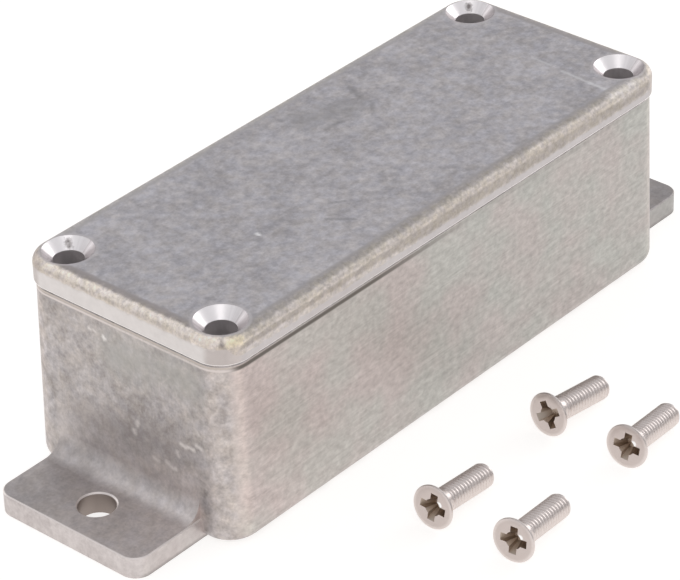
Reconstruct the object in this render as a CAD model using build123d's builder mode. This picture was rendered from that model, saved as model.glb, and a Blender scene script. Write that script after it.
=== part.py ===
from build123d import *
from math import atan2, cos, radians, sin, tan
import os

# A die-cast aluminium enclosure: a deep base with a fixing lug at each end, a lid,
# and the four countersunk lid screws, taken out and lying beside it.
# Millimetres. X runs along the box, Z is up, and the origin is the middle of the underside.

# The box, measured at the base's rim, which the lid overhangs a little
length = 90.0
width = 34.8
height = 31.0
lid_height = 4.0
lid_overhang = 0.3
corner_radius = 4.0
outer_draft = 1.3
foot_round = 1.8
rim_break = 0.25

# The space inside the base
wall = 2.2
floor_thickness = 2.5
cavity_draft = 1.0

# The four corner bosses that take the lid screws
screw_inset = 4.25
boss_radius = 3.4
boss_fillet = 1.2
tapped_radius = 1.45
tapped_depth = 10.0
tapped_chamfer = 0.3

# The fixing lugs, cast with the base and flush with its underside
lug_reach = 12.5
lug_width = 25.0
lug_thickness = 3.1
lug_corner_radius = 2.4
lug_root_radius = 3.0
lug_edge_break = 0.15
lug_hole_radius = 2.5
lug_hole_chamfer = 0.25
lug_hole_inset = 5.9

# The lid's underside
lid_panel = 2.3
tongue_depth = 1.5
tongue_thickness = 1.2
tongue_clearance = 0.2
tongue_lead_in = 0.3
lid_edge_round = 1.4

# The lid screws
screw_length = 11.3
screw_radius = 1.725
screw_head_radius = 3.05
screw_head_rim = 0.25
screw_end_chamfer = 0.35
screw_hole_clearance = 0.375
countersink_clearance = 0.45

# The cross recess in each screw's head
recess_reach = 1.95
recess_floor_reach = 0.8
recess_depth = 1.8
recess_wing = 0.9

# Where each screw lies: along the box, out from its long side, and its turn in degrees
screw_places = [(-25.4, 16.4, 2.8), (-24.5, 28.7, 6.0), (0.0, 15.2, -1.1), (0.6, 27.6, 6.2)]

# Worked out from the sizes above
rim_height = height - lid_height
screw_x = length / 2 - screw_inset
screw_y = width / 2 - screw_inset
cavity_length = length - 2 * wall
cavity_width = width - 2 * wall
lid_length = length + 2 * lid_overhang
lid_width = width + 2 * lid_overhang
root_height = lug_thickness + lug_root_radius
root_end = length / 2 + (rim_height - root_height) * tan(radians(outer_draft))
lug_span = length + 2 * lug_reach
lug_hole_x = lug_span / 2 - lug_hole_inset
screw_hole_radius = screw_radius + screw_hole_clearance
countersink_radius = screw_head_radius + countersink_clearance

os.makedirs("parts", exist_ok=True)

# One corner boss runs out to both walls, and is mirrored to the other three corners
with BuildSketch() as bosses:
    with Locations((screw_x, screw_y)):
        Circle(boss_radius)
        Rectangle(screw_inset, 2 * boss_radius, align=(Align.MIN, Align.CENTER))
        Rectangle(2 * boss_radius, screw_inset, align=(Align.CENTER, Align.MIN))
        Rectangle(screw_inset, screw_inset, align=(Align.MIN, Align.MIN))
    mirror(about=Plane.XZ)
    mirror(about=Plane.YZ)

# The mouth of the cavity, which the lid's tongue follows
with BuildSketch() as mouth:
    Rectangle(cavity_length, cavity_width)
    add(bosses.sketch, mode=Mode.SUBTRACT)
    ends = mouth.vertices().group_by(Axis.X)
    sides = mouth.vertices().group_by(Axis.Y)
    fillet(ends[0] + ends[-1] + sides[0] + sides[-1], radius=boss_fillet)

# Both lugs are the ends of one flat strip under the box
with BuildPart() as lugs:
    with BuildSketch():
        RectangleRounded(lug_span, lug_width, lug_corner_radius)
    extrude(amount=lug_thickness)
    chamfer(lugs.faces().sort_by(Axis.Z)[-1].edges(), length=lug_edge_break)

# The base, with lugs, bosses and blind tapped holes
with BuildPart() as base:
    # The die opens upwards, so the outside widens towards the rounded foot
    with BuildSketch(Plane.XY.offset(rim_height)):
        RectangleRounded(length, width, corner_radius)
    extrude(amount=-rim_height, taper=-outer_draft)
    fillet(base.faces().sort_by(Axis.Z)[0].edges(), radius=foot_round)
    chamfer(base.faces().sort_by(Axis.Z)[-1].edges(), length=rim_break)
    add(lugs.part)

    # Each lug curves up into the end wall
    with BuildSketch(Plane.XZ):
        with BuildLine():
            flat = Line((0, lug_thickness), (root_end + lug_root_radius, lug_thickness))
            root = RadiusArc(flat @ 1, (root_end, root_height), lug_root_radius)
            Polyline(root @ 1, (0, root_height), flat @ 0)
        make_face()
        mirror(about=Plane.YZ)
    extrude(amount=lug_width / 2 - lug_edge_break, both=True)

    # The cavity, whose draft thickens the walls and bosses towards the floor
    with BuildSketch(Plane.XY.offset(rim_height)):
        add(mouth.sketch)
    extrude(amount=floor_thickness - rim_height, taper=cavity_draft, mode=Mode.SUBTRACT)

    # Tapped holes in the bosses, and a fixing hole in each lug
    with Locations(Plane.XY.offset(rim_height)):
        with GridLocations(2 * screw_x, 2 * screw_y, 2, 2):
            CounterSinkHole(
                tapped_radius,
                counter_sink_radius=tapped_radius + tapped_chamfer,
                depth=tapped_depth,
                counter_sink_angle=90,
            )
    with Locations(Plane.XY.offset(lug_thickness)):
        with GridLocations(2 * lug_hole_x, 0, 2, 1):
            CounterSinkHole(
                lug_hole_radius,
                counter_sink_radius=lug_hole_radius + lug_hole_chamfer,
                depth=lug_thickness,
                counter_sink_angle=90,
            )

base.part.label = "base"
export_step(base.part, "parts/base.step")

# The lid, with a tongue that drops inside the rim and a pocket that lightens its panel
with BuildPart() as lid:
    with BuildSketch(Plane.XY.offset(rim_height)):
        RectangleRounded(lid_length, lid_width, corner_radius + lid_overhang)
    extrude(amount=lid_height)
    fillet(lid.faces().sort_by(Axis.Z)[-1].edges(), radius=lid_edge_round)
    chamfer(lid.faces().sort_by(Axis.Z)[0].edges(), length=rim_break)
    with BuildSketch(Plane.XY.offset(rim_height)):
        add(mouth.sketch)
        offset(amount=-tongue_clearance)
    extrude(amount=-tongue_depth)
    chamfer(lid.faces().sort_by(Axis.Z)[0].edges(), length=tongue_lead_in)
    with BuildSketch(Plane.XY.offset(rim_height - tongue_depth)):
        add(mouth.sketch)
        offset(amount=-tongue_clearance - tongue_thickness)
    extrude(amount=tongue_depth + lid_height - lid_panel, mode=Mode.SUBTRACT)
    with Locations(Plane.XY.offset(height)):
        with GridLocations(2 * screw_x, 2 * screw_y, 2, 2):
            CounterSinkHole(
                screw_hole_radius,
                counter_sink_radius=countersink_radius,
                counter_sink_angle=90,
            )

lid.part.label = "lid"
export_step(lid.part, "parts/lid.step")


def lying_plane(along, out, turn):
    """The plane of a lying screw's head, whose normal points out of the head.

    The screw rests on the back edge of its head and on the edge of its tail."""
    rest_length = screw_length - screw_end_chamfer - screw_head_rim
    tilt = atan2(screw_head_radius - screw_radius, rest_length)
    centre_height = screw_head_radius * cos(tilt) + screw_head_rim * sin(tilt)
    yaw = radians(turn)
    to_head = Vector(-cos(yaw) * cos(tilt), -sin(yaw) * cos(tilt), sin(tilt))
    across = Vector(-sin(yaw), cos(yaw), 0)
    return Plane(origin=(along, -width / 2 - out, centre_height), x_dir=across, z_dir=to_head)


def axial_plane(head, across):
    """The plane through a screw's axis, with its x axis along the direction across."""
    return Plane(origin=head.origin, x_dir=across, z_dir=across.cross(head.z_dir))


def lid_screw(label, head):
    """A countersunk screw with a cross recess, its head's face on the plane head."""
    with BuildPart() as screw:
        with BuildSketch(axial_plane(head, head.x_dir)):
            cone_end = screw_head_rim + screw_head_radius - screw_radius
            with BuildLine():
                Polyline(
                    (0, 0),
                    (screw_head_radius, 0),
                    (screw_head_radius, -screw_head_rim),
                    (screw_radius, -cone_end),
                    (screw_radius, screw_end_chamfer - screw_length),
                    (screw_radius - screw_end_chamfer, -screw_length),
                    (0, -screw_length),
                    close=True,
                )
            make_face()
        revolve(axis=Axis(head.origin, head.z_dir))
        for across in (head.x_dir, head.y_dir):
            with BuildSketch(axial_plane(head, across)):
                Polygon(
                    (-recess_reach, 0),
                    (recess_reach, 0),
                    (recess_floor_reach, -recess_depth),
                    (-recess_floor_reach, -recess_depth),
                    align=None,
                )
            extrude(amount=recess_wing / 2, both=True, mode=Mode.SUBTRACT)
    screw.part.label = label
    export_step(screw.part, "parts/" + label + ".step")


for number, place in enumerate(screw_places, start=1):
    lid_screw("lid_screw_" + str(number), lying_plane(*place))
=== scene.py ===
import bpy
from math import atan2, cos, pi, radians, sin
from mathutils import Matrix, Vector


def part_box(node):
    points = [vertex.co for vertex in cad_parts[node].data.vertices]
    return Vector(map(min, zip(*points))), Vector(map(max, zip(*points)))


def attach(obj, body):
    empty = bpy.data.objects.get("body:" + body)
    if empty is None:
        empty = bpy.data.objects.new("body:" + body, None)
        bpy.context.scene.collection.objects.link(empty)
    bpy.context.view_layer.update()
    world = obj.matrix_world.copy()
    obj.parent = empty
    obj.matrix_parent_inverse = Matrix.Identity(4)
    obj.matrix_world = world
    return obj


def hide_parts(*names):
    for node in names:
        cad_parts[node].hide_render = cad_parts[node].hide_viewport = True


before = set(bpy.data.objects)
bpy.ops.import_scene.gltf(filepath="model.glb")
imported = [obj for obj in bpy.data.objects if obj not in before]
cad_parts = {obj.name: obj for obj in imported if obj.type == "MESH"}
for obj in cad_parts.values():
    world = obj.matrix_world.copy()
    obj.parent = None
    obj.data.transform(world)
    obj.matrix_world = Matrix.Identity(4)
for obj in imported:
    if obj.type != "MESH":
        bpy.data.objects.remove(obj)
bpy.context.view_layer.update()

# A die-cast aluminium enclosure with its lid on and its four lid screws lying beside it.
# Metres, except where a size is said to be in millimetres.
MM = 0.001

# Places on the casting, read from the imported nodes
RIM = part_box("base")[1].z
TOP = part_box("lid")[1].z
HALF_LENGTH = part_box("lid")[1].x
HALF_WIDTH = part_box("lid")[1].y

# Sizes on the casting that its box doesn't give
LID_CORNER_RADIUS = 4.3 * MM
LID_OVERHANG = 0.3 * MM
LID_EDGE_ROUND = 1.4 * MM
RIM_BREAK = 0.25 * MM
SCREW_INSET = 4.55 * MM
COUNTERSINK_RADIUS = 3.5 * MM
LID_HOLE_RADIUS = 2.1 * MM
LUG_THICKNESS = 3.1 * MM
LUG_EDGE_BREAK = 0.15 * MM
LUG_HOLE_X = 51.6 * MM
LUG_HOLE_RADIUS = 2.5 * MM
TAPPED_REACH = 11 * MM

# The casting's skin: how wide its clouds, mottles, grains and warmer patches are, and how
# deep its relief is
CLOUD = 6 * MM
MOTTLE = 1.25 * MM
GRAIN = 0.38 * MM
TINT_PATCH = 2.2 * MM
CAST_RELIEF = 0.02 * MM

# The long sides: the belt's lines and their slope against the box, the speckle between
# them, and broad tints. A stretch of 0.1 draws a pattern out ten times along the box.
BELT_LINE = 0.25 * MM
BELT_SLOPE = radians(3.3)
LINE_STRETCH = 0.02
SPECKLE = 0.8 * MM
SPECKLE_STRETCH = 0.7
BROAD_TINT = 9 * MM

# The lid's worn edge: its wavy outline, its specks and their tints
EDGE_WAVE = 1.4 * MM
EDGE_WANDER = 0.16 * MM
SPECK = 0.6 * MM
SPECK_TINT = 1.05 * MM

# How fine the ragged outline of a mark is
RAGGED = 0.45 * MM

# The wear and painted light over the lid's edge, at its ends and at its long sides: worn
# metal with a brink painted dark as painted shade and bands painted lighter and darker as
# painted highlight and shade. How far over the rounded edge each look starts and is full,
# in millimetres from the flat top, and its colour
END_WEAR_AND_SHADING = [
    (-0.95, -0.4, "#b5aead"),
    (0.2, 0.75, "#f6eee9"),
    (1.3, 1.9, "#c9c2be"),
    (2.0, 2.6, "#d6d1cf"),
]
SIDE_WEAR_AND_SHADING = [
    (-0.8, -0.2, "#bbb6b6"),
    (0.1, 0.5, "#b3aeac"),
    (0.75, 1.35, "#d9d2ce"),
    (1.6, 2.2, "#aaa4a1"),
    (3.1, 3.9, "#c2bdbd"),
]

# Marks on the casting: their two ends and their half width in millimetres, their colour
# and how strongly they cover. First the lid's edge: its near corner has two painted
# highlights with a notch of painted shade between them, its left corner is painted dull
# as painted shade, and a stretch by its far right corner is pale.
EDGE_MARKS = [
    ((-45.0, -12.8, 30.4), (-44.4, -15.3, 30.4), 0.9, "#fff5ef", 0.8),
    ((-43.2, -16.8, 30.4), (-41.8, -17.4, 30.4), 0.8, "#fff4dc", 0.9),
    ((-43.9, -16.0, 30.8), (-44.1, -16.4, 30.0), 0.4, "#9c9390", 0.8),
    ((-44.8, 14.9, 30.4), (-43.0, 16.9, 30.4), 1.4, "#b3aaa6", 0.8),
    ((34.0, -17.0, 30.6), (39.0, -17.3, 30.6), 1.2, "#dedada", 0.7),
]

# Dark streaks of painted shade in two of the countersinks
COUNTERSINK_SHADE_MARKS = [
    ((-39.1, 14.7, 30.2), (-38.8, 15.1, 30.5), 0.6, "#857e7d", 1.0),
    ((42.5, 14.7, 30.2), (42.8, 15.1, 30.5), 0.6, "#857e7d", 1.0),
]

# Pale nicks on the end wall, over two greyer clouds above and a darker one below
END_MARKS = [
    ((-45.1, -3.0, 22.5), (-45.1, 1.0, 22.0), 4.0, "#b2b0ab", 0.6),
    ((-45.1, -11.0, 23.0), (-45.1, -8.0, 23.5), 3.5, "#b2b0ab", 0.6),
    ((-45.3, 8.0, 10.5), (-45.3, -9.0, 12.0), 3.6, "#948c8b", 0.4),
    ((-45.1, 5.9, 24.3), (-45.1, 5.6, 24.1), 0.35, "#e2dcd9", 0.8),
    ((-45.1, 5.0, 24.2), (-45.1, 4.8, 24.1), 0.3, "#e2dcd9", 0.7),
    ((-45.1, 3.3, 23.9), (-45.1, 3.1, 23.7), 0.42, "#efebe8", 0.8),
    ((-45.3, -2.0, 13.2), (-45.3, -1.9, 12.9), 0.5, "#dcd6d3", 0.8),
    ((-45.3, -1.3, 11.7), (-45.3, -1.4, 11.5), 0.5, "#dcd6d3", 0.8),
    ((-45.4, -4.6, 9.0), (-45.4, -5.4, 8.8), 0.4, "#e2dcd9", 0.8),
    ((-45.4, -6.9, 9.3), (-45.4, -7.5, 9.0), 0.5, "#e2dcd9", 0.8),
    ((-45.4, -7.9, 8.8), (-45.4, -8.4, 8.9), 0.4, "#e6e0dd", 0.9),
    ((-45.4, -8.8, 11.6), (-45.4, -9.0, 11.2), 0.5, "#dcd6d3", 0.8),
    ((-45.3, -9.5, 13.2), (-45.3, -10.3, 13.0), 0.4, "#e2dcd9", 0.9),
    ((-45.3, -10.6, 13.3), (-45.3, -11.7, 13.2), 0.35, "#e6e0dd", 0.9),
    ((-45.3, -12.1, 14.1), (-45.3, -13.0, 13.9), 0.4, "#e2dcd9", 0.8),
    ((-45.2, -12.4, 16.1), (-45.2, -12.6, 16.0), 0.4, "#dcd6d3", 0.8),
]

# A dark smudge and short dark lines on the lid, a pale scratch near its far end and a dot
LID_MARKS = [
    ((2.5, 11.0, 31.0), (9.0, 9.0, 31.0), 3.0, "#a9a6a7", 0.45),
    ((13.3, 12.2, 31.0), (12.2, 9.1, 31.0), 0.6, "#979495", 0.5),
    ((10.6, 5.7, 31.0), (12.2, 7.5, 31.0), 0.5, "#979495", 0.45),
    ((5.4, 7.1, 31.0), (2.5, 7.3, 31.0), 0.4, "#979495", 0.45),
    ((-14.7, -7.9, 31.0), (-12.5, -10.8, 31.0), 0.35, "#979495", 0.5),
    ((-11.5, -5.6, 31.0), (-9.9, -6.8, 31.0), 0.35, "#979495", 0.45),
    ((35.4, -2.3, 31.0), (35.3, -5.4, 31.0), 0.3, "#dedcdd", 0.6),
    ((34.9, -7.8, 31.0), (34.6, -12.9, 31.0), 0.3, "#e0dedf", 0.7),
    ((34.6, -12.9, 31.0), (34.5, -15.5, 31.0), 0.4, "#eae8e9", 0.8),
    ((-23.0, -3.3, 31.0), (-23.0, -3.6, 31.0), 0.4, "#f6f4f4", 1.0),
]

# The lid screws in millimetres: M3.5 by 0.6 with a countersunk head and a cross recess.
# The thread's ridge reaches from inside the root to past the crest, and is then trimmed.
# Its foot is a share of the pitch, and its top a share of its foot. The recess's cutters
# stand a little past the face: the core by millimetres, the blocks by a share of their depth.
SCREW_LENGTH = 11.3
HEAD_RADIUS = 3.05
HEAD_RIM = 0.25
HEAD_EDGE = 0.1
THREAD_RADIUS = 1.725
THREAD_ROOT = 1.56
THREAD_PITCH = 0.6
THREAD_RUN_IN = 0.3
RIDGE_SUNK = 0.15
RIDGE_PAST = 0.02
RIDGE_FOOT = 0.96
RIDGE_TOP = 0.12
NECK_RADIUS = 1.6
NECK_LENGTH = 0.7
NECK_STEP = 0.1
END_CHAMFER = 0.35
ROOT_CHAMFER = 0.05
RECESS_REACH = 1.95
RECESS_FLOOR_REACH = 0.8
RECESS_WING = 1.1
RECESS_FLOOR_WING = 0.6
RECESS_DEPTH = 1.8
RECESS_CORE = 1.2
RECESS_FLOOR_CORE = 0.45
CORE_PAST = 0.02
BLOCK_PAST = 0.01
SCREW_CLOUD = 0.8
SCREW_RELIEF = 0.004
ROUND_STEPS = 48
SMOOTH_ANGLE = radians(38)

# How each screw lies: millimetres along the box and out from its long side, then
# degrees that it is turned on the floor and rolled about its own axis
SCREW_PLACES = [
    (-25.4, 16.4, 2.8, -5.0),
    (-24.5, 28.7, 6.0, 0.0),
    (0.0, 15.2, -1.1, 33.0),
    (0.6, 27.6, 6.2, -5.0),
]

# The photograph's camera: its angles in degrees, its lens and sensor in millimetres
CAMERA_AIM = Vector((-1.963, 1.572, 10.0)) * MM
CAMERA_DISTANCE = 462.31 * MM
CAMERA_AZIMUTH = -48.341
CAMERA_ELEVATION = 32.56
CAMERA_ROLL = -1.808
CAMERA_LENS = 180.23
SENSOR_WIDTH = 36.0

# The softboxes: where each stands, its size in metres and its power in watts. The floor
# lies a little under the part.
SOFTBOXES = {
    "overhead_softbox": ((-0.41, -0.36, 0.84), 0.4, 0.42),
    "right_softbox": ((0.75, -0.2, 0.35), 0.45, 1.0),
    "left_softbox": ((-0.1, 0.75, 0.32), 0.4, 0.7),
}
FLOOR_SIZE = 6.0
FLOOR_DROP = 0.02 * MM


def srgb(code):
    """The linear colour of an sRGB hex code."""
    channels = [int(code[i : i + 2], 16) / 255 for i in (1, 3, 5)]
    return [c / 12.92 if c <= 0.04045 else ((c + 0.055) / 1.055) ** 2.4 for c in channels] + [1]


def add(tree, kind, *inputs, output=0, named=None, **settings):
    """Adds one node: its inputs in order, as links or values, then its settings."""
    made = tree.nodes.new("ShaderNode" + kind)
    for name, value in settings.items():
        setattr(made, name, value)
    given = list(enumerate(inputs)) + list((named or {}).items())
    for socket, value in given:
        if isinstance(value, bpy.types.NodeSocket):
            tree.links.new(value, made.inputs[socket])
        elif value is not None:
            made.inputs[socket].default_value = value
    return made.outputs[output] if made.outputs else made


def new_material(name):
    """An empty material, with its tree and the place on the object."""
    material = bpy.data.materials.new(name)
    material.use_nodes = True
    tree = material.node_tree
    tree.nodes.clear()
    place = add(tree, "TexCoord", output="Object")
    return material, tree, place


def metal(tree, color, roughness, height, relief):
    """The shader of bare metal, whose height gives a relief of that many metres."""
    bump = add(tree, "Bump", named={"Strength": 1.0, "Distance": relief, "Height": height})
    look = {"Base Color": color, "Metallic": 1.0, "Roughness": roughness, "Normal": bump}
    shader = add(tree, "BsdfPrincipled", named=look)
    add(tree, "OutputMaterial", shader)


def cast_surface(tree, place, dark, light):
    """The skin of a die casting: clouds some millimetres wide, mottling and a grain.

    Gives its colour, its height and how light it is."""
    clouds = add(tree, "TexNoise", place, None, 1 / CLOUD, 2.0, 0.5)
    mottle = add(tree, "TexNoise", place, None, 1 / MOTTLE, 3.0, 0.62)
    grain = add(tree, "TexNoise", place, None, 1 / GRAIN, 2.0, 0.6)
    broad = add(tree, "Math", clouds, 0.45, operation="MULTIPLY")
    middle = add(tree, "Math", mottle, 0.8, broad, operation="MULTIPLY_ADD")
    tone = add(tree, "Math", grain, 0.35, middle, operation="MULTIPLY_ADD")
    lightness = add(tree, "MapRange", tone, 0.6, 1.0, 0.0, 1.0)
    color = add(tree, "MixRGB", lightness, srgb(dark), srgb(light))

    # Faintly warmer and cooler patches
    tints = add(tree, "TexNoise", place, None, 1 / TINT_PATCH, 3.0, 0.6)
    share = add(tree, "MapRange", tints, 0.35, 0.65, 0.0, 1.0)
    tint = add(tree, "MixRGB", share, srgb("#fffdfa"), srgb("#fbfcff"))
    color = add(tree, "MixRGB", 1.0, color, tint, blend_type="MULTIPLY")
    fine = add(tree, "Math", mottle, 0.5, operation="MULTIPLY")
    height = add(tree, "Math", grain, 0.6, fine, operation="MULTIPLY_ADD")
    return color, height, lightness


def peak(tree, value, middle, reach):
    """One at the middle value, falling softly to nothing at that reach on both sides."""
    gap = add(tree, "Math", value, middle, operation="SUBTRACT")
    gap = add(tree, "Math", gap, operation="ABSOLUTE")
    return add(tree, "MapRange", gap, reach, reach * 0.3, interpolation_type="SMOOTHSTEP")


def scratches(tree, place, color, marks):
    """Paints the marks of a list over a colour.

    The distance to a mark's middle line is made uneven, so its outline is ragged."""
    edge = add(tree, "TexNoise", place, None, 1 / RAGGED, 3.0, 0.7)
    for start, end, width, code, strength in marks:
        first = Vector(start) * MM
        run = Vector(end) * MM - first
        past = add(tree, "VectorMath", place, first, operation="SUBTRACT")
        share = add(
            tree, "VectorMath", past, run / run.length_squared, operation="DOT_PRODUCT",
            output="Value",
        )
        held = add(tree, "Clamp", share)
        foot = add(tree, "VectorMath", run, operation="SCALE", named={"Scale": held})
        gap = add(tree, "VectorMath", past, foot, operation="DISTANCE", output="Value")
        ragged = add(tree, "Math", edge, 1.6 * width * MM, operation="MULTIPLY")
        gap = add(tree, "Math", gap, ragged, operation="ADD")
        mark = add(tree, "MapRange", gap, 2.0 * width * MM, 1.0 * width * MM, 0.0, strength)
        color = add(tree, "MixRGB", mark, color, srgb(code))
    return color


def base_material():
    """Die-cast aluminium: the skin is a warm grey with soft clouds and a fine speckle.

    The long sides were linished on a belt, which leaves a grain of short thin lines.
    Handling has polished the near lug's edges, which are also painted pale and bright as
    painted light, and the near end wall has pale nicks."""
    material, tree, place = new_material("die_cast_aluminium_linished_sides")
    xyz = add(tree, "SeparateXYZ", place).node.outputs
    normal = add(tree, "TexCoord", output="Normal")
    facing = add(tree, "SeparateXYZ", normal).node.outputs
    folded = add(tree, "VectorMath", place, operation="ABSOLUTE")
    folded_xyz = add(tree, "SeparateXYZ", folded).node.outputs
    sideways = add(tree, "Math", facing["Y"], operation="ABSOLUTE")
    side = add(tree, "MapRange", sideways, 0.72, 0.98, interpolation_type="SMOOTHSTEP")
    cast, cast_height, lightness = cast_surface(tree, place, "#a39d9b", "#d1cbc9")

    # The near lug and the foot of the wall above it are painted lighter than the wall, the more
    # so towards the near corner, as painted light. The far lug and the foot of its wall are
    # darker
    low = add(tree, "MapRange", xyz["Z"], 13 * MM, 6 * MM, interpolation_type="SMOOTHSTEP")
    by_lug = add(tree, "MapRange", folded_xyz["Y"], 13.2 * MM, 12.2 * MM)
    low = add(tree, "Math", low, by_lug, operation="MULTIPLY")
    not_under = add(tree, "Math", facing["Z"], -0.5, operation="GREATER_THAN")
    low = add(tree, "Math", low, not_under, operation="MULTIPLY")
    lighter = add(tree, "MapRange", xyz["Y"], 6 * MM, -12 * MM, 1.14, 1.45)
    near_lug = add(tree, "MapRange", xyz["X"], -42 * MM, -45 * MM)
    gain = add(tree, "MapRange", near_lug, 0.0, 1.0, 0.86, lighter)
    calm = add(tree, "MixRGB", 0.4, cast, srgb("#bab3b1"))
    at_lug = add(tree, "MixRGB", 1.0, calm, gain, blend_type="MULTIPLY")
    cast = add(tree, "MixRGB", low, cast, at_lug)

    # The belt's lines are some 12 mm long and run almost along the box. The metal between
    # them is speckled, and a little darker and greyer towards the far end.
    slope = (0.0, BELT_SLOPE, 0.0)
    along = add(tree, "Mapping", place, None, slope, (LINE_STRETCH, 1.0, 1.0))
    lines = add(tree, "TexNoise", along, None, 1 / BELT_LINE, 3.0, 0.6)
    drawn_out = add(tree, "Mapping", place, None, slope, (SPECKLE_STRETCH, 1.0, 1.0))
    speckle = add(tree, "TexNoise", drawn_out, None, 1 / SPECKLE, 4.0, 0.68)
    drift = add(tree, "Math", speckle, 1.15, operation="MULTIPLY")
    streaks = add(tree, "Math", lines, 0.5, drift, operation="MULTIPLY_ADD")
    share = add(tree, "MapRange", streaks, 0.57, 1.08, 0.0, 1.0)
    near = add(tree, "MixRGB", share, srgb("#b6aeac"), srgb("#d5cdcb"))
    far = add(tree, "MixRGB", share, srgb("#aaa6a4"), srgb("#c9c5c3"))
    onward = add(tree, "MapRange", xyz["X"], -35 * MM, 5 * MM)
    linished = add(tree, "MixRGB", onward, near, far)
    broad = add(tree, "TexNoise", place, None, 1 / BROAD_TINT, 2.0, 0.5)
    share = add(tree, "MapRange", broad, 0.38, 0.62)
    tint = add(tree, "MixRGB", share, srgb("#f9fdf9"), srgb("#fffaf8"))
    linished = add(tree, "MixRGB", 1.0, linished, tint, blend_type="MULTIPLY")
    color = add(tree, "MixRGB", side, cast, linished)
    height = add(tree, "MixRGB", side, cast_height, lines)

    # The box's upright corners are a little lighter
    round_part = add(tree, "Math", facing["X"], facing["Y"], operation="MULTIPLY")
    round_part = add(tree, "Math", round_part, operation="ABSOLUTE")
    corner_share = add(tree, "MapRange", round_part, 0.06, 0.3, interpolation_type="SMOOTHSTEP")
    color = add(tree, "MixRGB", corner_share, color, (1.15, 1.13, 1.11, 1.0), blend_type="MULTIPLY")

    # The lugs' upright edges: painted pale on the near lug as painted light, and dull on the far
    # one
    on_lug = add(tree, "Math", xyz["Z"], LUG_THICKNESS - LUG_EDGE_BREAK, operation="LESS_THAN")
    upright = add(tree, "Math", facing["Z"], 0.0, 0.3, operation="COMPARE")
    on_lug = add(tree, "Math", on_lug, upright, operation="MULTIPLY")
    on_lug = add(tree, "Math", on_lug, by_lug, operation="MULTIPLY")
    outside = add(tree, "Math", folded_xyz["X"], HALF_LENGTH - 0.5 * MM, operation="GREATER_THAN")
    rim = add(tree, "Math", on_lug, outside, operation="MULTIPLY")
    pale = add(tree, "MixRGB", lightness, srgb("#c3bbb9"), srgb("#dcd5d3"))
    dull = add(tree, "MixRGB", lightness, srgb("#9f9c9a"), srgb("#b6b3b1"))
    pale = add(tree, "MixRGB", near_lug, dull, pale)
    color = add(tree, "MixRGB", rim, color, pale)

    # The last half millimetre above the floor is painted dark on the long sides: painted contact
    # shade
    foot = add(tree, "MapRange", xyz["Z"], 0.6 * MM, 0.1 * MM, 0.0, 0.6)
    foot = add(tree, "Math", foot, side, operation="MULTIPLY")
    color = add(tree, "MixRGB", foot, color, srgb("#8c8785"))

    # The broken edge round the near lug's top, which leans at 45 degrees, is painted bright:
    # a painted highlight on an edge that handling has polished
    lean = add(tree, "Math", facing["Z"], cos(pi / 4), 0.04, operation="COMPARE")
    lug_edge = add(
        tree, "Math", xyz["Z"], LUG_THICKNESS - LUG_EDGE_BREAK / 2, LUG_EDGE_BREAK,
        operation="COMPARE",
    )
    edge = add(tree, "Math", lean, lug_edge, operation="MULTIPLY")
    edge = add(tree, "Math", edge, near_lug, operation="MULTIPLY")
    color = add(tree, "MixRGB", edge, color, srgb("#f0e8e4"))

    # The walls of the lugs' holes are a darker, warmer grey. The tapped holes' walls and what
    # lies round them are painted light, lifting the shade inside them
    flat = add(tree, "VectorMath", folded, (1, 1, 0), operation="MULTIPLY")
    lug_hole = add(
        tree, "VectorMath", flat, (LUG_HOLE_X, 0, 0), operation="DISTANCE", output="Value"
    )
    bored = add(tree, "Math", lug_hole, LUG_HOLE_RADIUS + 0.05 * MM, operation="LESS_THAN")
    color = add(tree, "MixRGB", bored, color, srgb("#a0958f"))
    holes = (HALF_LENGTH - SCREW_INSET, HALF_WIDTH - SCREW_INSET, 0)
    tapped = add(tree, "VectorMath", flat, holes, operation="DISTANCE", output="Value")
    inside = add(tree, "Math", tapped, LID_HOLE_RADIUS + 0.1 * MM, operation="LESS_THAN")
    above = add(tree, "Math", xyz["Z"], RIM - TAPPED_REACH, operation="GREATER_THAN")
    inside = add(tree, "Math", inside, above, operation="MULTIPLY")
    color = add(tree, "MixRGB", inside, color, srgb("#e0dcdc"))

    # The joint: painted shade under the lid's overhang, with dirt in it, along the near half of
    # the long sides, thinning out beyond it, and at the ends a faint brown line of painted shade
    # with a painted highlight under it
    under = add(tree, "Math", RIM, xyz["Z"], operation="SUBTRACT")
    thins = add(tree, "MapRange", xyz["X"], -16 * MM, 4 * MM, 1.0, 0.12)
    shade_and_dirt_share = add(tree, "Math", side, thins, operation="MULTIPLY")
    gap = peak(tree, under, 0.68 * MM, 0.46 * MM)
    joint_shade_and_dirt = add(tree, "Math", gap, shade_and_dirt_share, operation="MULTIPLY")
    color = add(tree, "MixRGB", joint_shade_and_dirt, color, srgb("#6f6964"))
    ends = add(tree, "Math", 1.0, side, operation="SUBTRACT")
    joint_shade_line = peak(tree, under, 0.42 * MM, 0.22 * MM)
    joint_shade_line = add(tree, "Math", joint_shade_line, ends, operation="MULTIPLY")
    color = add(tree, "MixRGB", joint_shade_line, color, srgb("#c8beb6"))
    joint_highlight = peak(tree, under, 0.8 * MM, 0.24 * MM)
    joint_highlight = add(tree, "Math", joint_highlight, ends, operation="MULTIPLY")
    color = add(tree, "MixRGB", joint_highlight, color, srgb("#dcd3cf"))

    color = scratches(tree, place, color, END_MARKS)
    roughness = add(tree, "MapRange", side, 0.0, 1.0, 0.52, 0.42)
    metal(tree, color, roughness, height, CAST_RELIEF)
    return material


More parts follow.
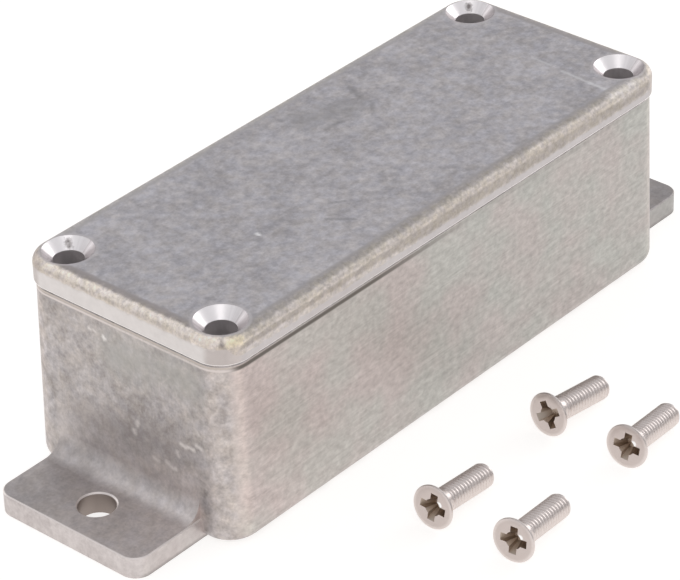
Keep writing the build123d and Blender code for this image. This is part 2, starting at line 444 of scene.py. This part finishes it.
def lid_material():
    """Die-cast aluminium: a dull bluish grey top under the die's skin.

    Its rounded edge is rubbed down to speckled metal, painted bright as a painted highlight,
    behind a brink painted dull as painted shade; the band below it is smoother and lighter,
    and the countersinks are cut metal painted bright on one side as a painted highlight."""
    material, tree, place = new_material("die_cast_aluminium_lid")
    x, y, z = add(tree, "SeparateXYZ", place).node.outputs
    top, top_height, _ = cast_surface(tree, place, "#b5b1b3", "#dbd7d9")
    top = scratches(tree, place, top, LID_MARKS)

    # How far a point lies in from the lid's outline, and which way it faces there
    flat = add(tree, "VectorMath", place, (1, 1, 0), operation="MULTIPLY")
    folded = add(tree, "VectorMath", flat, operation="ABSOLUTE")
    straight = (HALF_LENGTH - LID_CORNER_RADIUS, HALF_WIDTH - LID_CORNER_RADIUS, 0)
    past = add(tree, "VectorMath", folded, straight, operation="SUBTRACT")
    outer = add(tree, "VectorMath", past, (0, 0, 0), operation="MAXIMUM")
    reach = add(tree, "VectorMath", outer, operation="LENGTH", output="Value")
    inward = add(tree, "Math", LID_CORNER_RADIUS, reach, operation="SUBTRACT")
    way = add(tree, "VectorMath", outer, operation="NORMALIZE")
    way = add(tree, "SeparateXYZ", way).node.outputs
    side = add(tree, "MapRange", way["Y"], 0.75, 0.97, interpolation_type="SMOOTHSTEP")
    round_part = add(tree, "Math", way["X"], way["Y"], operation="MULTIPLY")
    corner = add(tree, "MapRange", round_part, 0.1, 0.35, interpolation_type="SMOOTHSTEP")

    # How far it lies over the rounded edge, measured along the surface from the flat top
    sunk = add(tree, "Math", TOP, z, operation="SUBTRACT")
    beside = add(tree, "Math", LID_EDGE_ROUND, inward, operation="SUBTRACT")
    above = add(tree, "Math", LID_EDGE_ROUND, sunk, operation="SUBTRACT")
    out = add(tree, "Math", beside, 0.0, operation="MAXIMUM")
    up = add(tree, "Math", above, 0.0, operation="MAXIMUM")
    lean = add(tree, "Math", out, up, operation="ARCTAN2")
    before = add(tree, "Math", beside, 0.0, operation="MINIMUM")
    beyond = add(tree, "Math", above, 0.0, operation="MINIMUM")
    over = add(tree, "Math", lean, LID_EDGE_ROUND, before, operation="MULTIPLY_ADD")
    over = add(tree, "Math", over, beyond, operation="SUBTRACT")
    wave = add(tree, "TexNoise", place, None, 1 / EDGE_WAVE, 4.0, 0.65)
    wander = add(tree, "MapRange", wave, 0.3, 0.7, -EDGE_WANDER, EDGE_WANDER)
    over = add(tree, "Math", over, wander, operation="ADD")

    # The long sides' wear and painted shading reach less far down towards the near corner
    down = add(tree, "Math", over, 1.9 * MM, operation="SUBTRACT")
    down = add(tree, "Math", down, 0.0, operation="MAXIMUM")
    sooner = add(tree, "MapRange", x, -5 * MM, -22 * MM, 0.0, 0.8)
    over_side = add(tree, "Math", down, sooner, over, operation="MULTIPLY_ADD")
    looks = []
    for wear_and_shading, distance in ((END_WEAR_AND_SHADING, over), (SIDE_WEAR_AND_SHADING, over_side)):
        color = top
        for first, last, code in wear_and_shading:
            share = add(
                tree, "MapRange", distance, first * MM, last * MM, interpolation_type="SMOOTHSTEP"
            )
            color = add(tree, "MixRGB", share, color, srgb(code))
        looks.append(color)
    color = add(tree, "MixRGB", side, *looks)
    band = add(tree, "MapRange", over, 1.5 * MM, 2.2 * MM, interpolation_type="SMOOTHSTEP")
    # The band's rounded corners are painted greyer: painted shade
    dull = add(tree, "Math", band, corner, operation="MULTIPLY")
    color = add(tree, "MixRGB", dull, color, srgb("#bcb4b1"))

    # The band is lighter towards the near end on the long sides, and uneven everywhere
    gain = add(tree, "MapRange", x, -5 * MM, -25 * MM, 1.0, 1.1)
    lighter = add(tree, "MixRGB", 1.0, color, gain, blend_type="MULTIPLY")
    side_band = add(tree, "Math", band, side, operation="MULTIPLY")
    color = add(tree, "MixRGB", side_band, color, lighter)
    shades = add(tree, "MapRange", wave, 0.3, 0.7, 0.95, 1.05)
    color = add(tree, "MixRGB", 1.0, color, shades, blend_type="MULTIPLY")

    # Above the band, the edge is painted evenly pale along the back and at the far end: a
    # painted sheen
    upper = add(tree, "Math", 1.0, band, operation="SUBTRACT")
    back = add(tree, "MapRange", y, HALF_WIDTH - 2.2 * MM, HALF_WIDTH - 0.6 * MM, 0.0, 0.85)
    back = add(tree, "Math", back, upper, operation="MULTIPLY")
    color = add(tree, "MixRGB", back, color, srgb("#dddadb"))
    far_end_sheen = add(tree, "MapRange", x, HALF_LENGTH - 2.2 * MM, HALF_LENGTH - 0.6 * MM, 0.0, 0.8)
    far_end_sheen = add(tree, "Math", far_end_sheen, upper, operation="MULTIPLY")
    color = add(tree, "MixRGB", far_end_sheen, color, srgb("#d6d3d4"))
    color = scratches(tree, place, color, EDGE_MARKS)

    # Specks on the worn part, lighter and darker, in patches of a warmer tint
    worn_to = add(tree, "MapRange", side, 0.0, 1.0, 2.2 * MM, 3.6 * MM)
    starts = add(tree, "MapRange", over, -0.5 * MM, 0.4 * MM)
    ends = add(tree, "Math", over, worn_to, operation="LESS_THAN")
    worn = add(tree, "Math", starts, ends, operation="MULTIPLY")
    specks = add(tree, "TexNoise", place, None, 1 / SPECK, 4.0, 0.7)
    factor = add(tree, "MapRange", specks, 0.3, 0.7, 0.78, 1.24)
    speckled = add(tree, "MixRGB", 1.0, color, factor, blend_type="MULTIPLY")
    tints = add(tree, "TexNoise", place, None, 1 / SPECK_TINT, 3.0, 0.6)
    share = add(tree, "MapRange", tints, 0.4, 0.6)
    tint = add(tree, "MixRGB", share, srgb("#fffcf3"), srgb("#fffdfb"))
    speckled = add(tree, "MixRGB", 1.0, speckled, tint, blend_type="MULTIPLY")
    color = add(tree, "MixRGB", worn, color, speckled)

    # The lid's lowest edge is painted bright: painted light that lifts the shade in the joint's
    # groove
    lowest = add(tree, "Math", z, RIM + RIM_BREAK * 1.2, operation="LESS_THAN")
    color = add(tree, "MixRGB", lowest, color, srgb("#fffcfa"))

    # The countersinks: a point is on one where its radius and depth add up to less than
    # the countersink's radius. A pale ring lies round each. The turned metal is painted bright
    # towards the box's back right corner and duller across from it, with uneven rays: a
    # painted highlight and painted shade of light on turned metal.
    holes = (HALF_LENGTH - SCREW_INSET, HALF_WIDTH - SCREW_INSET, 0)
    offset = add(tree, "VectorMath", folded, holes, operation="SUBTRACT")
    radius = add(tree, "VectorMath", offset, operation="LENGTH", output="Value")
    cone = add(tree, "Math", radius, sunk, operation="ADD")
    ring = peak(tree, cone, COUNTERSINK_RADIUS + 0.1 * MM, 0.5 * MM)
    ring = add(tree, "Math", ring, 0.5, operation="MULTIPLY")
    color = add(tree, "MixRGB", ring, color, srgb("#d8d2d2"))
    cut = add(tree, "Math", cone, COUNTERSINK_RADIUS + 0.015 * MM, operation="LESS_THAN")
    quarter = add(tree, "VectorMath", place, operation="SIGN")
    ray = add(tree, "VectorMath", offset, quarter, operation="MULTIPLY")
    ray = add(tree, "VectorMath", ray, operation="NORMALIZE")
    rays = add(tree, "TexNoise", ray, None, 4.0, 3.0, 0.6)
    rays = add(tree, "MapRange", rays, 0.3, 0.7, -0.2, 0.2)
    lit_side = add(
        tree, "VectorMath", ray, (0.56, 0.83, 0), operation="DOT_PRODUCT", output="Value"
    )
    lit_side = add(tree, "Math", lit_side, rays, operation="ADD")
    share = add(tree, "MapRange", lit_side, 0.0, 0.85, interpolation_type="SMOOTHSTEP")
    countersink_lit_color = add(tree, "MixRGB", share, srgb("#aea7a8"), srgb("#fffafa"))
    color = add(tree, "MixRGB", cut, color, countersink_lit_color)
    color = scratches(tree, place, color, COUNTERSINK_SHADE_MARKS)
    # The hole's wall is painted light, lifting the shade inside it
    inside = add(tree, "Math", radius, LID_HOLE_RADIUS + 0.02 * MM, operation="LESS_THAN")
    color = add(tree, "MixRGB", inside, color, srgb("#e0dcdc"))

    cast_roughness = add(tree, "MapRange", band, 0.0, 1.0, 0.5, 0.36)
    roughness = add(tree, "MapRange", cut, 0.0, 1.0, cast_roughness, 0.38)
    metal(tree, color, roughness, top_height, CAST_RELIEF)
    return material


def screw_material():
    """Nickel-plated steel: bright and faintly pink, with a duller face and a dark recess."""
    material, tree, place = new_material("nickel_plated_steel")
    clouds = add(tree, "TexNoise", place, None, 1 / (SCREW_CLOUD * MM), 3.0, 0.6)
    color = add(tree, "MixRGB", clouds, srgb("#cfc4bf"), srgb("#ece3df"))

    # The screw's own place in millimetres: Z out of its head, X across the box
    own = add(tree, "Attribute", attribute_name="own_place", output="Vector")
    depth = add(tree, "SeparateXYZ", own, output="Z")
    depth = add(tree, "Math", depth, -1.0, operation="MULTIPLY")
    flat = add(tree, "VectorMath", own, (1, 1, 0), operation="MULTIPLY")
    radius = add(tree, "VectorMath", flat, operation="LENGTH", output="Value")
    face = add(tree, "Math", depth, 0.01, operation="LESS_THAN")
    dull = add(tree, "MapRange", radius, HEAD_RADIUS - 0.15, HEAD_RADIUS - 0.5, 0.0, 0.8)
    dull = add(tree, "Math", dull, face, operation="MULTIPLY")
    color = add(tree, "MixRGB", dull, color, srgb("#c6bab5"))

    # The recess lies below the face and within a cone about the axis. A painted highlight, a
    # white glint, lies between two of its wings.
    cone = add(tree, "Math", depth, 0.7, radius, operation="MULTIPLY_ADD")
    within = add(tree, "Math", cone, 2.35, operation="LESS_THAN")
    below = add(tree, "Math", depth, 0.02, operation="GREATER_THAN")
    recess = add(tree, "Math", within, below, operation="MULTIPLY")
    color = add(tree, "MixRGB", recess, color, srgb("#c2b4a7"))
    glint = add(
        tree, "VectorMath", own, (-0.95, -0.72, 0), operation="DISTANCE", output="Value"
    )
    glint = add(tree, "MapRange", glint, 0.5, 0.3)
    color = add(tree, "MixRGB", glint, color, srgb("#ffffff"))
    roughness = add(tree, "MapRange", clouds, 0.3, 0.7, 0.3, 0.4)
    metal(tree, color, roughness, clouds, SCREW_RELIEF * MM)
    return material


def start_edit():
    """Opens the active object in edit mode with all of it selected."""
    bpy.ops.object.mode_set(mode="EDIT")
    bpy.ops.mesh.select_all(action="SELECT")


def select_where(made, chosen):
    """Selects the vertices that chosen says yes to, and what lies between them."""
    bpy.ops.mesh.select_all(action="DESELECT")
    bpy.ops.object.mode_set(mode="OBJECT")
    for vertex in made.data.vertices:
        vertex.select = chosen(vertex.co)
    bpy.ops.object.mode_set(mode="EDIT")


def end_edit():
    """Turns all faces outwards and leaves edit mode."""
    bpy.ops.mesh.select_all(action="SELECT")
    bpy.ops.mesh.normals_make_consistent(inside=False)
    bpy.ops.object.mode_set(mode="OBJECT")


def turned(name, sections):
    """A solid turned about Z, drawn out from a disc through (height, radius) sections."""
    bpy.ops.object.select_all(action="DESELECT")
    start_height, start_radius = sections[0]
    bpy.ops.mesh.primitive_circle_add(vertices=ROUND_STEPS, radius=start_radius, fill_type="NGON")
    made = bpy.context.object
    made.name = name
    start_edit()
    bpy.ops.transform.translate(value=(0, 0, start_height))
    for (height, radius), (next_height, next_radius) in zip(sections, sections[1:]):
        step = {"value": (0, 0, next_height - height)}
        bpy.ops.mesh.extrude_region_move(TRANSFORM_OT_translate=step)
        scale = next_radius / radius
        bpy.ops.transform.resize(value=(scale, scale, 1), center_override=(0, 0, 0))
    end_edit()
    return made


def wing(name, angle):
    """Two opposite wings of the recess: a block that narrows towards its floor."""
    bpy.ops.object.select_all(action="DESELECT")
    bpy.ops.mesh.primitive_cube_add(size=1)
    made = bpy.context.object
    made.name = name
    start_edit()
    bpy.ops.transform.translate(value=(0, 0, BLOCK_PAST - 0.5))
    size = (2 * RECESS_REACH, RECESS_WING, RECESS_DEPTH)
    bpy.ops.transform.resize(value=size, center_override=(0, 0, 0))
    select_where(made, lambda spot: spot.z < -RECESS_DEPTH / 2)
    narrowing = (RECESS_FLOOR_REACH / RECESS_REACH, RECESS_FLOOR_WING / RECESS_WING, 1)
    bpy.ops.transform.resize(value=narrowing, center_override=(0, 0, 0))
    bpy.ops.mesh.select_all(action="SELECT")
    bpy.ops.transform.rotate(value=angle, orient_axis="Z", center_override=(0, 0, 0))
    end_edit()
    return made


def thread():
    """The thread's ridge: a trapezoid swept along the helix, past both ends of the thread."""
    turns = int(SCREW_LENGTH / THREAD_PITCH)
    foot = THREAD_ROOT - RIDGE_SUNK
    crest = THREAD_RADIUS + RIDGE_PAST
    bpy.ops.object.select_all(action="DESELECT")
    bpy.ops.mesh.primitive_plane_add(size=1)
    made = bpy.context.object
    made.name = "thread"
    start_edit()
    bpy.ops.transform.rotate(value=pi / 2, orient_axis="X", center_override=(0, 0, 0))
    size = (crest - foot, 1, THREAD_PITCH * RIDGE_FOOT)
    bpy.ops.transform.resize(value=size, center_override=(0, 0, 0))
    bpy.ops.transform.translate(value=((crest + foot) / 2, 0, -SCREW_LENGTH))
    select_where(made, lambda spot: spot.x > THREAD_RADIUS)
    bpy.ops.transform.resize(value=(1, 1, RIDGE_TOP), center_override=(0, 0, -SCREW_LENGTH))
    bpy.ops.mesh.select_all(action="SELECT")
    bpy.ops.mesh.delete(type="ONLY_FACE")
    bpy.ops.object.mode_set(mode="OBJECT")
    sweep = made.modifiers.new("sweep", "SCREW")
    sweep.axis = "Z"
    sweep.screw_offset = THREAD_PITCH
    sweep.iterations = turns
    sweep.steps = sweep.render_steps = ROUND_STEPS
    bpy.ops.object.modifier_apply(modifier=sweep.name)

    # The sweep's turns are joined and its two ends closed
    start_edit()
    bpy.ops.mesh.remove_doubles(threshold=1e-5)
    bpy.ops.mesh.fill_holes(sides=4)
    end_edit()
    return made


def combine(target, tool, operation):
    """Cuts, joins or trims the target by the tool, which goes."""
    bpy.ops.object.select_all(action="DESELECT")
    target.select_set(True)
    bpy.context.view_layer.objects.active = target
    boolean = target.modifiers.new("combine", "BOOLEAN")
    boolean.operation = operation
    boolean.solver = "EXACT"
    boolean.object = tool
    bpy.ops.object.modifier_apply(modifier=boolean.name)
    bpy.data.objects.remove(tool)


def screw_model():
    """The screw about Z in millimetres, its head's face at the origin and facing up."""
    cone_end = HEAD_RIM + HEAD_RADIUS - NECK_RADIUS
    thread_start = cone_end + NECK_LENGTH
    body = turned(
        "screw",
        [
            (0, HEAD_RADIUS - HEAD_EDGE),
            (-HEAD_EDGE * 0.3, HEAD_RADIUS - HEAD_EDGE * 0.3),
            (-HEAD_EDGE, HEAD_RADIUS),
            (-HEAD_RIM, HEAD_RADIUS),
            (-cone_end, NECK_RADIUS),
            (-thread_start, NECK_RADIUS),
            (-thread_start - NECK_STEP, THREAD_ROOT),
            (-SCREW_LENGTH + ROOT_CHAMFER, THREAD_ROOT),
            (-SCREW_LENGTH, THREAD_ROOT - ROOT_CHAMFER),
        ],
    )

    # What the thread may fill: it grows out of the neck and ends in a chamfer
    envelope = turned(
        "envelope",
        [
            (-thread_start + NECK_STEP, NECK_RADIUS - NECK_STEP),
            (-thread_start - THREAD_RUN_IN, THREAD_RADIUS),
            (-SCREW_LENGTH + END_CHAMFER, THREAD_RADIUS),
            (-SCREW_LENGTH + RIDGE_PAST, THREAD_RADIUS - END_CHAMFER + RIDGE_PAST),
        ],
    )
    ridge = thread()
    combine(ridge, envelope, "INTERSECT")
    combine(body, ridge, "UNION")

    # The cross recess
    core = turned("core", [(CORE_PAST, RECESS_CORE), (-RECESS_DEPTH, RECESS_FLOOR_CORE)])
    combine(body, core, "DIFFERENCE")
    combine(body, wing("wing", 0), "DIFFERENCE")
    combine(body, wing("wing", pi / 2), "DIFFERENCE")
    bpy.ops.object.shade_smooth_by_angle(angle=SMOOTH_ANGLE)
    return body


def lying_screw(model, name, along, out, turn, roll):
    """A copy of the screw where its CAD node lies, on the floor beside the box.

    It keeps each point's place on the screw before it was laid down, for its material."""
    rest_length = SCREW_LENGTH - END_CHAMFER - HEAD_RIM
    tilt = atan2(HEAD_RADIUS - THREAD_RADIUS, rest_length)
    height = HEAD_RADIUS * cos(tilt) + HEAD_RIM * sin(tilt)
    yaw = radians(turn)
    to_head = Vector((-cos(yaw) * cos(tilt), -sin(yaw) * cos(tilt), sin(tilt)))
    across = Vector((-sin(yaw), cos(yaw), 0))
    axes = Matrix((across, to_head.cross(across), to_head)).transposed().to_4x4()
    spot = Vector((along, -(HALF_WIDTH - LID_OVERHANG) / MM - out, height))
    screw = bpy.data.objects.new(name + "_threaded", model.data.copy())
    bpy.context.scene.collection.objects.link(screw)
    rolled = Matrix.Rotation(radians(roll), 4, "Z")
    lies = Matrix.Scale(MM, 4) @ Matrix.Translation(spot) @ axes @ rolled
    own = screw.data.attributes.new("own_place", "FLOAT_VECTOR", "POINT")
    for vertex in screw.data.vertices:
        own.data[vertex.index].vector = rolled @ vertex.co
    screw.data.transform(lies)
    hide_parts(name)
    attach(screw, "root")


def make_screws():
    """Models the screw once and lays a copy of it at each place."""
    model = screw_model()
    model.data.materials.clear()
    model.data.materials.append(screw_material())
    for number, place in enumerate(SCREW_PLACES, start=1):
        lying_screw(model, "lid_screw_" + str(number), *place)
    bpy.data.objects.remove(model)


def dress_node(name, material):
    """Gives a CAD node its material."""
    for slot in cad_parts[name].material_slots:
        slot.material = material


def make_floor():
    """A plain white table top that glows a little, so that shadows stay faint.

    It is clear from below."""
    bpy.ops.object.select_all(action="DESELECT")
    bpy.ops.mesh.primitive_plane_add(size=FLOOR_SIZE, location=(0, 0, -FLOOR_DROP))
    floor = bpy.context.object
    floor.name = "floor"
    material = bpy.data.materials.new("white_table")
    material.use_nodes = True
    tree = material.node_tree
    tree.nodes.clear()
    matt = add(tree, "BsdfDiffuse", srgb("#b4b3b2"))
    glow = add(tree, "Emission", srgb("#fffdfb"), 0.75)
    lit = add(tree, "AddShader", matt, glow)
    clear = add(tree, "BsdfTransparent")
    below = add(tree, "NewGeometry", output="Backfacing")
    add(tree, "OutputMaterial", add(tree, "MixShader", below, lit, clear))
    floor.data.materials.append(material)


def make_world():
    """A pale studio: bright overhead and dimmer towards the horizon."""
    world = bpy.data.worlds.new("studio")
    bpy.context.scene.world = world
    world.use_nodes = True
    tree = world.node_tree
    tree.nodes.clear()
    direction = add(tree, "TexCoord", output="Generated")
    up = add(tree, "SeparateXYZ", direction, output="Z")
    strength = add(
        tree, "MapRange", up, 0.0, 0.45, 0.35, 0.68, interpolation_type="SMOOTHSTEP"
    )
    background = add(tree, "Background", srgb("#fbfcff"), strength)
    add(tree, "OutputWorld", background)


def make_softbox(name, place, size, power):
    """A square light that faces the box."""
    data = bpy.data.lights.new(name, "AREA")
    data.shape = "SQUARE"
    data.size = size
    data.energy = power
    light = bpy.data.objects.new(name, data)
    light.location = place
    light.rotation_euler = (-Vector(place)).to_track_quat("-Z", "Y").to_euler()
    bpy.context.scene.collection.objects.link(light)


def make_camera():
    """The photograph's camera, aimed at a point inside the box."""
    azimuth, elevation = radians(CAMERA_AZIMUTH), radians(CAMERA_ELEVATION)
    back = Vector(
        (sin(azimuth) * cos(elevation), -cos(azimuth) * cos(elevation), sin(elevation))
    )
    data = bpy.data.cameras.new("camera")
    data.lens = CAMERA_LENS
    data.sensor_width = SENSOR_WIDTH
    data.clip_start = 0.01
    camera = bpy.data.objects.new("camera", data)
    camera.location = CAMERA_AIM + back * CAMERA_DISTANCE
    level = back.to_track_quat("Z", "Y")
    roll = Matrix.Rotation(radians(CAMERA_ROLL), 4, "Z")
    camera.rotation_euler = (level.to_matrix().to_4x4() @ roll).to_euler()
    bpy.context.scene.collection.objects.link(camera)
    bpy.context.scene.camera = camera


dress_node("base", base_material())
dress_node("lid", lid_material())
make_screws()
make_floor()
make_world()
for name, softbox in SOFTBOXES.items():
    make_softbox(name, *softbox)
make_camera()
bpy.context.scene.view_settings.view_transform = "Standard"
